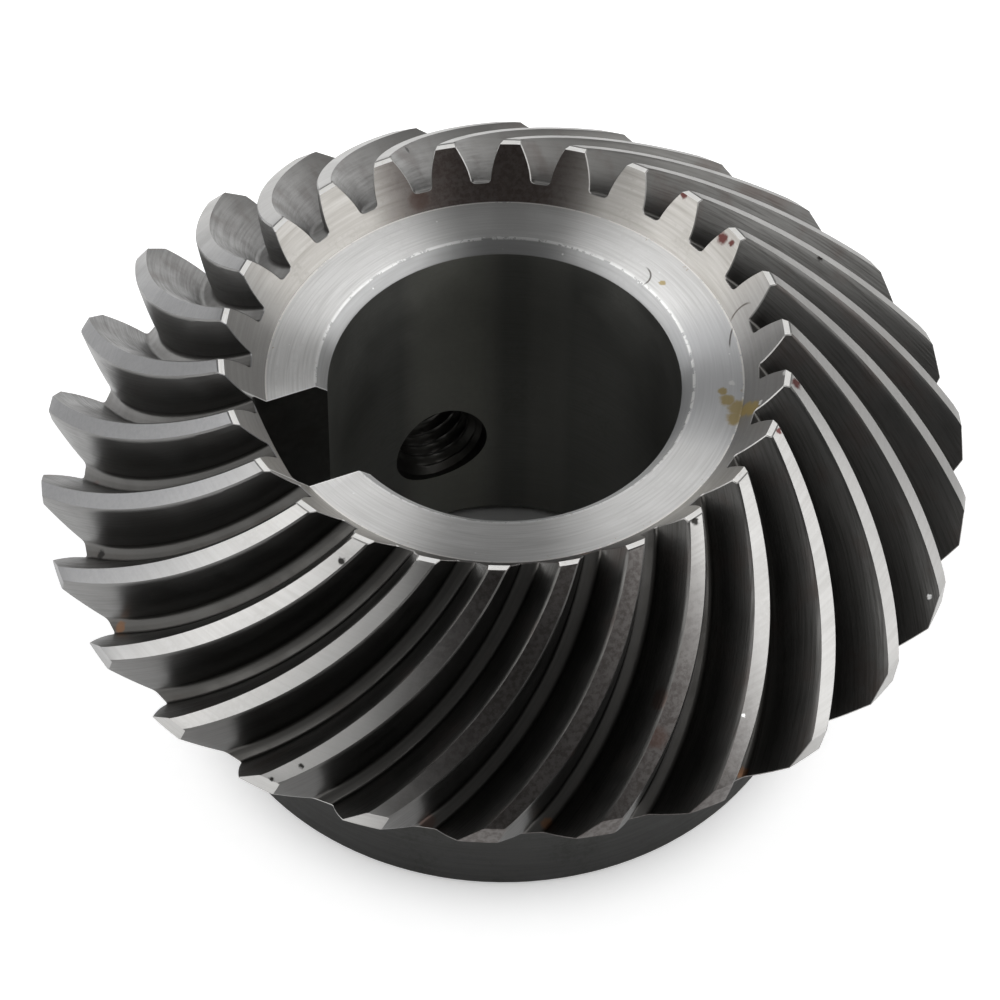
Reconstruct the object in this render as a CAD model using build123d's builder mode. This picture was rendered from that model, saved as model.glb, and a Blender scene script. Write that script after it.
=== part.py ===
from build123d import *
from math import acos, atan, cos, pi, radians, sin, sqrt, tan
import os

# Spiral bevel gear in one piece, for a 90 degree drive with an equal mate.
# Lengths are in mm and angles in degrees. Heights count up from the flat end
# of the hub, where the shaft axis is +Z. The keyway is on the -X side.

# Tooth system
tooth_count = 26
module = 3.0
pitch_angle = 45.0
face_angle = 48.53
root_angle = 42.88
pressure_angle = 20.0
spiral_angle = 35.2
cutter_radius = 37.5
cutter_tip_width = 0.95
face_width = 22.5
heel_addendum = 2.55
heel_dedendum = 3.4
root_bevel = 0.3
gap_from_keyway = 3.85

# Turned blank. The sharp corners at the crown and at the toes are turned off
# by the two trims.
hub_length = 16.5
hub_radius = 27.0
hub_corner = 1.0
hub_edge_chamfer = 0.5
back_face_width = 5.0
ring_width = 5.25
crown_trim = 1.05
toe_trim = 0.33

# Bore with its keyway
bore_radius = 15.0
bore_chamfer = 1.0
key_width = 10.0
key_depth = 6.0
key_floor_fillet = 0.5

# Tapped hole for a set screw, a quarter turn from the keyway
screw_drill_radius = 3.4
screw_relief_radius = 4.4
screw_relief_depth = 0.5
screw_countersink = 0.5
screw_height = hub_length * 2 / 3

# How finely each gap is shaped, and how far its cut runs past the blank. Each
# flank is straight between its points.
gap_sections = 4
flank_points = 3
end_overrun = 1.2
tip_overrun = 0.6

# The back cone is square to the pitch cone, and sets how high the teeth stand.
pitch_radius = module * tooth_count / 2
back_slope = tan(radians(90 - pitch_angle))
back_edge_radius = hub_radius + back_face_width
pitch_circle_height = hub_length + (pitch_radius - back_edge_radius) * back_slope
mounting_distance = pitch_circle_height + pitch_radius / tan(radians(pitch_angle))

outer_cone_distance = pitch_radius / sin(radians(pitch_angle))
inner_cone_distance = outer_cone_distance - face_width
mean_cone_distance = outer_cone_distance - face_width / 2

# A tooth follows the circle that the cutter sweeps in the developed pitch cone.
cutter_offset = sqrt(
    mean_cone_distance**2
    + cutter_radius**2
    - 2 * mean_cone_distance * cutter_radius * sin(radians(spiral_angle))
)


def developed_angle(cone_distance):
    reach = cone_distance**2 + cutter_offset**2 - cutter_radius**2
    return acos(reach / (2 * cone_distance * cutter_offset))


def spiral_at(cone_distance):
    reach = cone_distance**2 + cutter_radius**2 - cutter_offset**2
    return pi / 2 - acos(reach / (2 * cone_distance * cutter_radius))


def gap_azimuth(cone_distance):
    turn = developed_angle(cone_distance) - developed_angle(mean_cone_distance)
    return pi + radians(gap_from_keyway) + turn / sin(radians(pitch_angle))


def addendum_at(cone_distance):
    lost = (outer_cone_distance - cone_distance) * tan(radians(face_angle - pitch_angle))
    return heel_addendum - lost


def dedendum_at(cone_distance):
    lost = (outer_cone_distance - cone_distance) * tan(radians(pitch_angle - root_angle))
    return heel_dedendum - lost


# A point given by its distance along the pitch cone and its height off that
# cone, as a radius and a height above the hub's end.
def blank_point(cone_distance, lift):
    slope = radians(pitch_angle)
    radius = cone_distance * sin(slope) + lift * cos(slope)
    depth = cone_distance * cos(slope) - lift * sin(slope)
    return radius, mounting_distance - depth


def involute(angle):
    return tan(angle) - angle


# One side of a gap, in the plane square to the pitch cone. The flank is an
# involute of the developed back cone, set off from a slot with a constant
# tip width.
def flank_point(cone_distance, lift, side):
    spiral = spiral_at(cone_distance)
    back_radius = cone_distance * tan(radians(pitch_angle))
    slot_width = cutter_tip_width + 2 * dedendum_at(cone_distance) * tan(radians(pressure_angle))
    half_gap = slot_width / 2 / cos(spiral) / back_radius
    pitch_pressure = atan(tan(radians(pressure_angle)) / cos(spiral))
    base_radius = back_radius * cos(pitch_pressure)
    local_pressure = acos(min(1, base_radius / (back_radius + lift)))
    angle = half_gap + involute(local_pressure) - involute(pitch_pressure)
    return side * (back_radius + lift) * sin(angle), (back_radius + lift) * cos(angle) - back_radius


def gap_plane(cone_distance):
    azimuth = gap_azimuth(cone_distance)
    slope = radians(pitch_angle)
    radius, height = blank_point(cone_distance, 0)
    centre = (radius * cos(azimuth), radius * sin(azimuth), height)
    outward = (sin(slope) * cos(azimuth), sin(slope) * sin(azimuth), -cos(slope))
    sideways = (-sin(azimuth), cos(azimuth), 0)
    return Plane(origin=centre, x_dir=sideways, z_dir=outward)


# Corners of the turned profile on the face cone
crown = blank_point(outer_cone_distance, heel_addendum)
outer_radius = crown[0] - crown_trim
face_slope = tan(radians(90 - face_angle))
face_edge_height = crown[1] + crown_trim * face_slope
heel_edge_height = pitch_circle_height + (outer_radius - pitch_radius) * back_slope

# The front cone is square to the face cone and runs down to the flat ring.
front_lean = radians(face_angle - pitch_angle)
front_slope = tan(radians(face_angle))
toe_lift = addendum_at(inner_cone_distance) * cos(front_lean) ** 2
toe_corner = blank_point(inner_cone_distance - toe_lift * tan(front_lean), toe_lift)
overall_height = toe_corner[1] - toe_trim
toe_edge_radius = toe_corner[0] + toe_trim / face_slope
front_edge_radius = toe_corner[0] - toe_trim / front_slope
ring_radius = bore_radius + ring_width
ring_height = toe_corner[1] - (toe_corner[0] - ring_radius) * front_slope
key_floor_radius = bore_radius + key_depth

# One gap between two teeth, from past the toe to past the heel
with BuildPart() as gap:
    first_section = inner_cone_distance - end_overrun
    section_step = (face_width + 2 * end_overrun) / gap_sections
    for index in range(gap_sections + 1):
        cone_distance = first_section + index * section_step
        root_lift = -dedendum_at(cone_distance)
        first_lift = root_lift + root_bevel
        flank_height = addendum_at(cone_distance) + tip_overrun - first_lift
        lifts = [first_lift + flank_height * step / (flank_points - 1) for step in range(flank_points)]
        floor_half = flank_point(cone_distance, root_lift, 1)[0] - root_bevel
        with BuildSketch(gap_plane(cone_distance)):
            with BuildLine():
                left = Polyline(*[flank_point(cone_distance, lift, -1) for lift in lifts])
                right = Polyline(*[flank_point(cone_distance, lift, 1) for lift in lifts])
                Polyline(left @ 0, (-floor_half, root_lift), (floor_half, root_lift), right @ 0)
                Line(left @ 1, right @ 1)
            make_face()
    loft()

with BuildPart() as gear:
    with BuildSketch(Plane.XZ):
        with BuildLine():
            Polyline(
                (bore_radius + bore_chamfer, 0),
                (bore_radius, bore_chamfer),
                (bore_radius, ring_height - bore_chamfer),
                (bore_radius + bore_chamfer, ring_height),
                (ring_radius, ring_height),
                (front_edge_radius, overall_height),
                (toe_edge_radius, overall_height),
                (outer_radius, face_edge_height),
                (outer_radius, heel_edge_height),
                (back_edge_radius, hub_length),
                (hub_radius + hub_corner, hub_length),
                (hub_radius, hub_length - hub_corner),
                (hub_radius, hub_edge_chamfer),
                (hub_radius - hub_edge_chamfer, 0),
                close=True,
            )
        make_face()
    revolve(axis=Axis.Z)

    with PolarLocations(0, tooth_count):
        add(gap.part, mode=Mode.SUBTRACT)

    # Keyway through the whole bore, breaking out into the front cone
    with BuildSketch():
        with Locations((-key_floor_radius / 2, 0)):
            Rectangle(key_floor_radius, key_width)
    keyway = extrude(amount=overall_height, mode=Mode.PRIVATE)
    key_corners = keyway.edges().filter_by(Axis.Z).sort_by(Axis.X)[:2]
    add(keyway.fillet(key_floor_fillet, key_corners), mode=Mode.SUBTRACT)

    # Tapped hole out of the bore, relieved at the bore wall and countersunk outside
    relief_end = bore_radius + screw_relief_depth
    taper = screw_relief_radius - screw_drill_radius
    with BuildSketch(Plane.YZ):
        with BuildLine():
            Polyline(
                (0, screw_height),
                (0, screw_height + screw_relief_radius),
                (relief_end, screw_height + screw_relief_radius),
                (relief_end + taper, screw_height + screw_drill_radius),
                (hub_radius - screw_countersink, screw_height + screw_drill_radius),
                (hub_radius + screw_countersink, screw_height + screw_drill_radius + 2 * screw_countersink),
                (hub_radius + screw_countersink, screw_height),
                close=True,
            )
        make_face()
    revolve(axis=Axis((0, 0, screw_height), (0, 1, 0)), mode=Mode.SUBTRACT)

gear.part.label = "gear"
os.makedirs("parts", exist_ok=True)
export_step(gear.part, "parts/gear.step")
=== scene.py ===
import math
import bmesh
import bpy
import numpy as np
from mathutils import Matrix, Vector


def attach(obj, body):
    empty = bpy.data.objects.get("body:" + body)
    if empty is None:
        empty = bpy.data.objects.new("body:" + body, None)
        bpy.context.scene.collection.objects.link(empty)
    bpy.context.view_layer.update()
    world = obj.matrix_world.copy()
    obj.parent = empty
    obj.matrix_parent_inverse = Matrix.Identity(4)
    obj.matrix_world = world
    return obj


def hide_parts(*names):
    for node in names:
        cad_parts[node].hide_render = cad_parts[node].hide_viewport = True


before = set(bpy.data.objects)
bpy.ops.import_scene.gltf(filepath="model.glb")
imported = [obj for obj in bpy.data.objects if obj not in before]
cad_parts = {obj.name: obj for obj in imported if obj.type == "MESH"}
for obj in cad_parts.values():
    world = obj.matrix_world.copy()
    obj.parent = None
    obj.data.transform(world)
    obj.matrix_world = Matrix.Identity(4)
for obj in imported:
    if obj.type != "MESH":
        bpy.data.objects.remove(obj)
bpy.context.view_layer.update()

mm = 0.001


# a unit vector by its azimuth and elevation in degrees
def unitVector(azimuth, elevation):
    turn, rise = math.radians(azimuth), math.radians(elevation)
    return Vector((math.cos(rise) * math.cos(turn), math.cos(rise) * math.sin(turn), math.sin(rise)))


# the camera, aimed at a point inside the gear: lengths in mm, angles in degrees, clip in metres
camera = {
    "target": (-3.428, -7.268, 29.510),
    "azimuth": -113.0,
    "elevation": 50.2748,
    "distance": 393.318,
    "roll": 0.46294,
    "lens": 167.69,
    "sensor": 36.0,
    "clip": (0.01, 20.0),
}


def makeCamera():
    roll = math.radians(camera["roll"])
    back = unitVector(camera["azimuth"], camera["elevation"])
    right = Vector((0, 0, 1)).cross(back).normalized()
    up = back.cross(right)
    sideAxis = right * math.cos(roll) + up * math.sin(roll)
    upAxis = up * math.cos(roll) - right * math.sin(roll)
    place = (Vector(camera["target"]) + back * camera["distance"]) * mm
    data = bpy.data.cameras.new("photoCamera")
    data.lens = camera["lens"]
    data.sensor_width = camera["sensor"]
    data.clip_start, data.clip_end = camera["clip"]
    made = bpy.data.objects.new("photoCamera", data)
    bpy.context.scene.collection.objects.link(made)
    frameAxes = Matrix((sideAxis, upAxis, back)).transposed().to_4x4()
    made.matrix_world = Matrix.Translation(place) @ frameAxes
    bpy.context.scene.camera = made


makeCamera()
print("camera set")

# sizes of the gear in mm and degrees; all but the last four are the same as in the CAD source
gear = {
    "teeth": 26,
    "module": 3.0,
    "faceAngle": 48.53,
    "rootAngle": 42.88,
    "pressureAngle": 20.0,
    "spiralAngle": 35.2,
    "cutterRadius": 37.5,
    "cutterTip": 0.95,
    "faceWidth": 22.5,
    "heelAddendum": 2.55,
    "heelDedendum": 3.4,
    "gapFromKeyway": 3.85,
    "hubLength": 16.5,
    "hubRadius": 27.0,
    "hubCorner": 1.0,
    "hubChamfer": 0.5,
    "backFace": 5.0,
    "ringWidth": 5.25,
    "crownTrim": 1.05,
    "toeTrim": 0.33,
    "boreRadius": 15.0,
    "boreChamfer": 1.0,
    "keyWidth": 10.0,
    "keyDepth": 6.0,
    "keyCorner": 0.5,
    "rootRound": 0.38,
    "edgeBreak": 0.07,
    "landBreak": 0.18,
    "flankRise": 5.0,  # rough height of a flank, which places the break beside the land
}

# how many strips each stretch of the surface is divided into
strips = {
    "length": 36,
    "flank": 10,
    "flankAtToeCrease": 8,
    "flankAtHeelCrease": 6,
    "root": 4,
    "land": 4,
    "band": 3,
}

# how the tips and ends of the lines along the teeth are searched for
search = {
    "tipSteps": 6,
    "reach": 0.62,
    "halvings": 40,
    "creaseFrom": 0.2,
    "creaseSteps": 400,
}

# surface kinds, in the order of the material slots
kinds = [
    "ringSteel",
    "frontSteel",
    "tipSteel",
    "landSteel",
    "flankSteel",
    "rootSteel",
    "boreSteel",
    "hubSteel",
    "keySteel",
]
kindIndex = {kind: index for index, kind in enumerate(kinds)}

rootHalf = math.sqrt(0.5)
toothStep = 2 * math.pi / gear["teeth"]
pitchRadius = gear["module"] * gear["teeth"] / 2
outerCone = pitchRadius / rootHalf
innerCone = outerCone - gear["faceWidth"]
meanCone = outerCone - gear["faceWidth"] / 2
backEdgeRadius = gear["hubRadius"] + gear["backFace"]
pitchHeight = gear["hubLength"] + pitchRadius - backEdgeRadius
apexHeight = pitchHeight + pitchRadius
faceTan = math.tan(math.radians(90 - gear["faceAngle"]))
frontTan = math.tan(math.radians(gear["faceAngle"]))
faceLean = math.tan(math.radians(gear["faceAngle"] - 45))
rootLean = math.tan(math.radians(45 - gear["rootAngle"]))
pressureTan = math.tan(math.radians(gear["pressureAngle"]))
cutterOffset = math.sqrt(
    meanCone**2
    + gear["cutterRadius"] ** 2
    - 2 * meanCone * gear["cutterRadius"] * math.sin(math.radians(gear["spiralAngle"]))
)


def addendumAt(cone):
    return gear["heelAddendum"] - (outerCone - cone) * faceLean


def dedendumAt(cone):
    return gear["heelDedendum"] - (outerCone - cone) * rootLean


def developedAngle(cone):
    return np.arccos((cone**2 + cutterOffset**2 - gear["cutterRadius"] ** 2) / (2 * cone * cutterOffset))


def gapAzimuth(cone):
    turn = developedAngle(cone) - developedAngle(meanCone)
    return math.pi + math.radians(gear["gapFromKeyway"]) + turn / rootHalf


def involute(angle):
    return np.tan(angle) - angle


# half the gap and the true lift, for a distance from the apex and a lift off the pitch cone
def flankPoint(cone, lift):
    cutter = gear["cutterRadius"]
    spiral = np.arcsin((cone**2 + cutter**2 - cutterOffset**2) / (2 * cone * cutter))
    halfGap = (gear["cutterTip"] / 2 + dedendumAt(cone) * pressureTan) / np.cos(spiral) / cone
    pitchPressure = np.arctan(pressureTan / np.cos(spiral))
    pressure = np.arccos(np.minimum(1, cone * np.cos(pitchPressure) / (cone + lift)))
    angle = halfGap + involute(pressure) - involute(pitchPressure)
    return (cone + lift) * np.sin(angle), (cone + lift) * np.cos(angle) - cone


# radius, azimuth and height of a point across a gap
def turned(cone, across, lift):
    outward = (cone + lift) * rootHalf
    azimuth = gapAzimuth(cone) + np.arctan2(across, outward)
    return np.hypot(outward, across), azimuth, apexHeight - (cone - lift) * rootHalf


# corners of the blank
crownRadius = (outerCone + gear["heelAddendum"]) * rootHalf
crownHeight = apexHeight - (outerCone - gear["heelAddendum"]) * rootHalf
outerRadius = crownRadius - gear["crownTrim"]
faceEdgeHeight = crownHeight + gear["crownTrim"] * faceTan
heelEdgeHeight = pitchHeight + outerRadius - pitchRadius
toeLift = addendumAt(innerCone) / (1 + faceLean**2)
toeCone = innerCone - toeLift * faceLean
toeRadius = (toeCone + toeLift) * rootHalf
toeHeight = apexHeight - (toeCone - toeLift) * rootHalf
topHeight = toeHeight - gear["toeTrim"]
toeEdgeRadius = toeRadius + gear["toeTrim"] / faceTan
frontEdgeRadius = toeRadius - gear["toeTrim"] / frontTan
ringRadius = gear["boreRadius"] + gear["ringWidth"]
ringHeight = toeHeight - (toeRadius - ringRadius) * frontTan

# the two turned ends of the teeth as profiles of radius and height, counted from the body outward
toeProfile = [(ringRadius, ringHeight), (frontEdgeRadius, topHeight), (toeEdgeRadius, topHeight)]
heelProfile = [
    (backEdgeRadius, gear["hubLength"]),
    (outerRadius, heelEdgeHeight),
    (outerRadius, faceEdgeHeight),
]


def profileLengths(profile):
    steps = [math.dist(first, second) for first, second in zip(profile, profile[1:])]
    return np.concatenate([[0], np.cumsum(steps)])


def onProfile(profile, travel):
    lengths = profileLengths(profile)
    radii, heights = np.array(profile).T
    return np.interp(travel, lengths, radii), np.interp(travel, lengths, heights)


def profileTravel(profile, radius, height):
    first, corner, last = np.array(profile)
    lengths = profileLengths(profile)
    along = (last - corner) / (lengths[2] - lengths[1])
    past = (radius - corner[0]) * along[0] + (height - corner[1]) * along[1]
    start = (corner - first) / lengths[1]
    before = (radius - first[0]) * start[0] + (height - first[1]) * start[1]
    return np.where(past > 0, lengths[1] + past, before)


# the lift at which a flank meets the face cone
def tipLift(cone):
    lift = addendumAt(cone)
    for _ in range(search["tipSteps"]):
        across, rise = flankPoint(cone, lift)
        radius, _azimuth, height = turned(cone, across, rise)
        miss = height - faceEdgeHeight - (outerRadius - radius) * faceTan
        lift = lift - miss * rootHalf
    return lift


# where a line that runs along the teeth leaves the blank, by halving
def lineEnd(lineAt, share, atToe):
    reach = gear["faceWidth"] * search["reach"]
    inside = np.full(np.shape(share), meanCone)
    outside = inside + (-reach if atToe else reach)
    for _ in range(search["halvings"]):
        middle = (inside + outside) / 2
        radius, _azimuth, height = turned(middle, *lineAt(middle, share))
        if atToe:
            out = np.maximum(height - topHeight, height - ringHeight - (radius - ringRadius) * frontTan) > 0
        else:
            out = np.maximum(radius - outerRadius, pitchHeight + radius - pitchRadius - height) > 0
        outside = np.where(out, middle, outside)
        inside = np.where(out, inside, middle)
    return inside


# a flank line by its share of the way from the root rounding to the tip
def flankLine(cone, share):
    low = gear["rootRound"] - dedendumAt(cone)
    return flankPoint(cone, low + share * (tipLift(cone) - low))


# a root line by its share of the way from the flank to the flat of the gap's floor
def rootLine(cone, share):
    floorLift = -dedendumAt(cone)
    flankAcross, flankRise = flankPoint(cone, floorLift + gear["rootRound"])
    cornerAcross = flankPoint(cone, floorLift)[0]
    floorAcross = cornerAcross - gear["rootRound"]
    first, middle, last = (1 - share) ** 2, 2 * share * (1 - share), share**2
    across = first * flankAcross + middle * cornerAcross + last * floorAcross
    return across, first * flankRise + (middle + last) * floorLift


def floorLine(cone, share):
    return share * 0.0, -dedendumAt(cone)


# the share at which a flank runs into the corner of the turned end
def creaseShare(atToe):
    profile = toeProfile if atToe else heelProfile
    shares = np.linspace(search["creaseFrom"], 1, search["creaseSteps"])
    ends = lineEnd(flankLine, shares, atToe)
    radii, _azimuth, heights = turned(ends, *flankLine(ends, shares))
    travel = profileTravel(profile, radii, heights)
    return float(np.interp(profileLengths(profile)[1], travel, shares))


# how far up the flank each line runs, at the toe and at the heel
def flankShares():
    lines = np.arange(strips["flank"] + 1)
    tip = 1 - gear["landBreak"] / gear["flankRise"]
    shares = []
    for atToe, crease in ((True, strips["flankAtToeCrease"]), (False, strips["flankAtHeelCrease"])):
        shares.append(np.interp(lines, [0, crease, strips["flank"]], [0, creaseShare(atToe), tip]))
    return shares


# every line across one gap: its function, its share at the toe and at the heel, its side,
# and how far its end edge is broken downward rather than sideways
def gapLines():
    halfLines = [(floorLine, 0.0, 0.0, 0.0, 1.0)]
    for step in range(strips["root"], 0, -1):
        share = step / strips["root"]
        halfLines.append((rootLine, share, share, 1.0, share))
    for toeShare, heelShare in zip(*flankShares()):
        halfLines.append((flankLine, toeShare, heelShare, 1.0, 0.0))
    mirrored = [(at, toe, heel, -1.0, down) for at, toe, heel, _side, down in halfLines[:0:-1]]
    return mirrored + halfLines


lengthSteps = np.linspace(0, 1, strips["length"] + 1)


# one line of points along the teeth, with its two ends on the turned end faces
def tracedLine(lineAt, toeShare, heelShare, side):
    toeEnd = lineEnd(lineAt, toeShare, True)
    heelEnd = lineEnd(lineAt, heelShare, False)
    ease = gear["edgeBreak"]
    cone = toeEnd + ease + (heelEnd - toeEnd - 2 * ease) * lengthSteps
    share = toeShare + (heelShare - toeShare) * lengthSteps
    across, lift = lineAt(cone, share)
    body = turned(cone, side * across, lift)
    ends = []
    for end, endShare in ((toeEnd, toeShare), (heelEnd, heelShare)):
        acrossEnd, liftEnd = lineAt(end, endShare)
        ends.append([float(value) for value in turned(end, side * acrossEnd, liftEnd)])
    return body, ends


# the surface is gathered as grids of points, and welded afterwards
def addGrid(skin, radius, azimuth, height, kind):
    radius, azimuth, height = np.broadcast_arrays(radius, azimuth, height)
    rows, columns = radius.shape
    start = skin["count"]
    block = np.stack([radius * np.cos(azimuth), radius * np.sin(azimuth), height], -1)
    skin["points"].append(block.reshape(-1, 3))
    skin["count"] += rows * columns
    row, column = np.meshgrid(np.arange(rows - 1), np.arange(columns - 1), indexing="ij")
    first = (start + row * columns + column).ravel()
    skin["faces"] += np.stack([first, first + 1, first + columns + 1, first + columns], 1).tolist()
    skin["kinds"] += np.broadcast_to(kind, (rows - 1, columns - 1)).ravel().tolist()


# a strip of faces between two lines of points
def addStrip(skin, first, second, kind):
    addGrid(skin, *(np.stack(pair) for pair in zip(first, second)), kind)


def addTriangle(skin, corners, kind):
    start = skin["count"]
    skin["points"].append(np.array([[r * math.cos(a), r * math.sin(a), z] for r, a, z in corners]))
    skin["count"] += 3
    skin["faces"].append([start, start + 1, start + 2])
    skin["kinds"].append(kind)


# a turned profile with its outer corners broken
def easedProfile(points, corners):
    ease = gear["edgeBreak"]
    made = [points[0]]
    for before, corner, after in zip(points, points[1:], points[2:]):
        if corner not in corners:
            made.append(corner)
            continue
        for other in (before, after):
            share = ease / math.dist(corner, other)
            made.append(tuple(c + (o - c) * share for c, o in zip(corner, other)))
    return made + [points[-1]]


def addTurned(skin, profile, turns, kindList):
    radii, heights = np.array(profile).T
    addGrid(skin, radii[:, None], turns[None], heights[:, None], np.array(kindList)[:, None])


# part of a grid of points, turned about the shaft by a shift
def picked(grid, index, shift):
    radius, azimuth, height = grid
    return radius[index], azimuth[index] + shift, height[index]


# the two sides of a land: line of the gap, line of the land, and how far the gap's line is turned
def landSides(shift):
    return (-1, 0, shift), (0, -1, shift + toothStep)


# one gap and the land after it, as lines of points along the teeth
def traceGap():
    lines = gapLines()
    flanks = strips["flank"]
    traced = [tracedLine(at, toe, heel, side) for at, toe, heel, side, _down in lines]
    radius, azimuth, height = (np.array([body[axis] for body, _ends in traced]) for axis in range(3))
    gapKinds = np.full((len(lines) - 1, strips["length"]), kindIndex["flankSteel"])
    gapKinds[flanks:-flanks] = kindIndex["rootSteel"]
    leftEdge = azimuth[-1] + gear["landBreak"] / radius[-1]
    rightEdge = azimuth[0] + toothStep - gear["landBreak"] / radius[0]
    landTurn = leftEdge + (rightEdge - leftEdge) * np.linspace(0, 1, strips["land"] + 1)[:, None]
    depth = (faceEdgeHeight + (outerRadius - radius[-1]) * faceTan - height[-1]) / (1 + faceTan**2)
    landRadius = np.broadcast_to(np.minimum(radius[-1] + depth * faceTan, outerRadius), landTurn.shape)
    landHeight = np.broadcast_to(np.minimum(height[-1] + depth, topHeight), landTurn.shape)
    return {
        "body": (radius, azimuth, height),
        "kinds": gapKinds,
        "land": (landRadius, landTurn, landHeight),
        "ends": np.array([pair for _body, pair in traced]),
        "side": np.array([line[3] for line in lines]),
        "down": np.array([line[4] for line in lines]),
    }


def addGapAndLand(skin, gap, shift):
    addGrid(skin, *picked(gap["body"], slice(None), shift), gap["kinds"])
    addGrid(skin, *picked(gap["land"], slice(None), shift), kindIndex["landSteel"])
    # broken edges along the two sides of the land
    for line, column, lineShift in landSides(shift):
        gapSide = picked(gap["body"], line, lineShift)
        addStrip(skin, gapSide, picked(gap["land"], column, shift), kindIndex["flankSteel"])


# the two ends of the teeth: where the flank's lines pass the profile's corner, and the surface kinds
toothEnds = [
    {
        "profile": toeProfile,
        "row": 0,
        "crease": strips["flankAtToeCrease"],
        "kind": kindIndex["frontSteel"],
        "tipKind": kindIndex["tipSteel"],
    },
    {
        "profile": heelProfile,
        "row": -1,
        "crease": strips["flankAtHeelCrease"],
        "kind": kindIndex["hubSteel"],
        "tipKind": kindIndex["landSteel"],
    },
]


bandShares = np.linspace(0, 1, strips["band"] + 1)[:, None]
flatMargin = 1.0  # mm of the hub's flat end beside each of its edges


# the end face of one tooth, with the broken edges round it and round the mouth of the gap
def addToothEnd(skin, gap, end, shift):
    ease, flanks, lands = gear["edgeBreak"], strips["flank"], strips["land"]
    profile, row = toothEnds[end]["profile"], toothEnds[end]["row"]
    kind, tipKind = toothEnds[end]["kind"], toothEnds[end]["tipKind"]
    landKind = kindIndex["landSteel"]
    endRadius, endTurn, endHeight = gap["ends"][:, end].T
    travel = profileTravel(profile, endRadius, endHeight) - ease * gap["down"]
    travel = np.minimum(travel, profileLengths(profile)[-1] - ease)
    turn = endTurn + gap["side"] * (1 - gap["down"]) * ease / endRadius + shift
    radius, height = onProfile(profile, travel)
    gapEnd = picked(gap["body"], (slice(None), row), shift)
    landEnd = picked(gap["land"], (slice(None), row), shift)
    addStrip(skin, (radius, turn, height), gapEnd, landKind)
    # end face of the tooth, in rows across it
    leftTurn = turn[-flanks - 1 :]
    rightTurn = turn[flanks::-1] + toothStep
    faceTurn = leftTurn[:, None] + (rightTurn - leftTurn)[:, None] * np.linspace(0, 1, lands + 1)
    faceRadius = radius[-flanks - 1 :][:, None]
    faceHeight = height[-flanks - 1 :][:, None]
    rowKinds = np.where(np.arange(flanks) < toothEnds[end]["crease"], kind, tipKind)
    addGrid(skin, faceRadius, faceTurn, faceHeight, rowKinds[:, None])
    # broken edge at the end of the land, and its two corners
    topRadius, topLevel = radius[-1], height[-1]
    faceTop = (np.full(lands + 1, topRadius), faceTurn[-1], np.full(lands + 1, topLevel))
    addStrip(skin, faceTop, landEnd, landKind)
    for line, column, lineShift in landSides(shift):
        gapCorner = picked(gap["body"], (line, row), lineShift)
        landCorner = picked(gap["land"], (column, row), shift)
        addTriangle(skin, [gapCorner, landCorner, (topRadius, faceTurn[-1, column], topLevel)], landKind)
    # rest of the end face, from the teeth to the turned circle
    loopTravel = np.concatenate([travel[flanks:-flanks], np.full(lands, travel[-flanks - 1])])
    loopTurn = np.concatenate([turn[flanks:-flanks], faceTurn[0][1:]])
    bandRadius, bandHeight = onProfile(profile, loopTravel * bandShares)
    addGrid(skin, bandRadius, loopTurn[None], bandHeight, kind)
    return loopTurn[:-1]


# from the flat ring through the bore to the hub's flat end
def addInside(skin, turns):
    boreRadius, boreChamfer = gear["boreRadius"], gear["boreChamfer"]
    corners = [
        (ringRadius, ringHeight),
        (boreRadius + boreChamfer, ringHeight),
        (boreRadius, ringHeight - boreChamfer),
        (boreRadius, boreChamfer),
        (boreRadius + boreChamfer, 0.0),
        (boreRadius + boreChamfer + flatMargin, 0.0),
    ]
    ring, bore, hub = kindIndex["ringSteel"], kindIndex["boreSteel"], kindIndex["hubSteel"]
    addTurned(skin, easedProfile(corners, corners[1:5]), turns, [ring] * 4 + [bore] * 2 + [hub] * 3)
    return corners[-1][0]


# from the back of the teeth down the hub to its flat end
def addOutside(skin, turns):
    hubRadius, hubChamfer = gear["hubRadius"], gear["hubChamfer"]
    corners = [
        (backEdgeRadius, gear["hubLength"]),
        (hubRadius + gear["hubCorner"], gear["hubLength"]),
        (hubRadius, gear["hubLength"] - gear["hubCorner"]),
        (hubRadius, hubChamfer),
        (hubRadius - hubChamfer, 0.0),
        (hubRadius - hubChamfer - flatMargin, 0.0),
    ]
    profile = easedProfile(corners, corners[3:5])
    addTurned(skin, profile, turns, [kindIndex["hubSteel"]] * (len(profile) - 1))
    return corners[-1][0]


# flat end of the hub, where the toe's columns meet the heel's
def addHubEnd(skin, firstRadius, lastRadius, toeTurns, heelTurns):
    columns = len(toeTurns) - 1
    offset = int(round((heelTurns[0] - toeTurns[0]) / (2 * math.pi / columns)))
    spread = np.arange(columns + 1) - offset
    heelTurn = heelTurns[spread % columns] + (spread // columns) * 2 * math.pi
    radius = firstRadius + (lastRadius - firstRadius) * bandShares
    turn = toeTurns + (heelTurn - toeTurns) * bandShares
    addGrid(skin, radius, turn, 0.0 * radius, kindIndex["hubSteel"])


def buildSkin():
    skin = {"points": [], "faces": [], "kinds": [], "count": 0}
    gap = traceGap()
    loopTurns = [[], []]
    for number in range(gear["teeth"]):
        shift = number * toothStep
        addGapAndLand(skin, gap, shift)
        for end in (0, 1):
            loopTurns[end].append(addToothEnd(skin, gap, end, shift))
    toeTurns, heelTurns = (np.concatenate(turns + [turns[0][:1] + 2 * math.pi]) for turns in loopTurns)
    firstRadius = addInside(skin, toeTurns)
    lastRadius = addOutside(skin, heelTurns)
    addHubEnd(skin, firstRadius, lastRadius, toeTurns, heelTurns)
    return skin


# points closer than the weld in mm become one, and edges sharper than the angle in degrees stay hard
meshing = {"weld": 0.002, "sharpAngle": 28.0}


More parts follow.
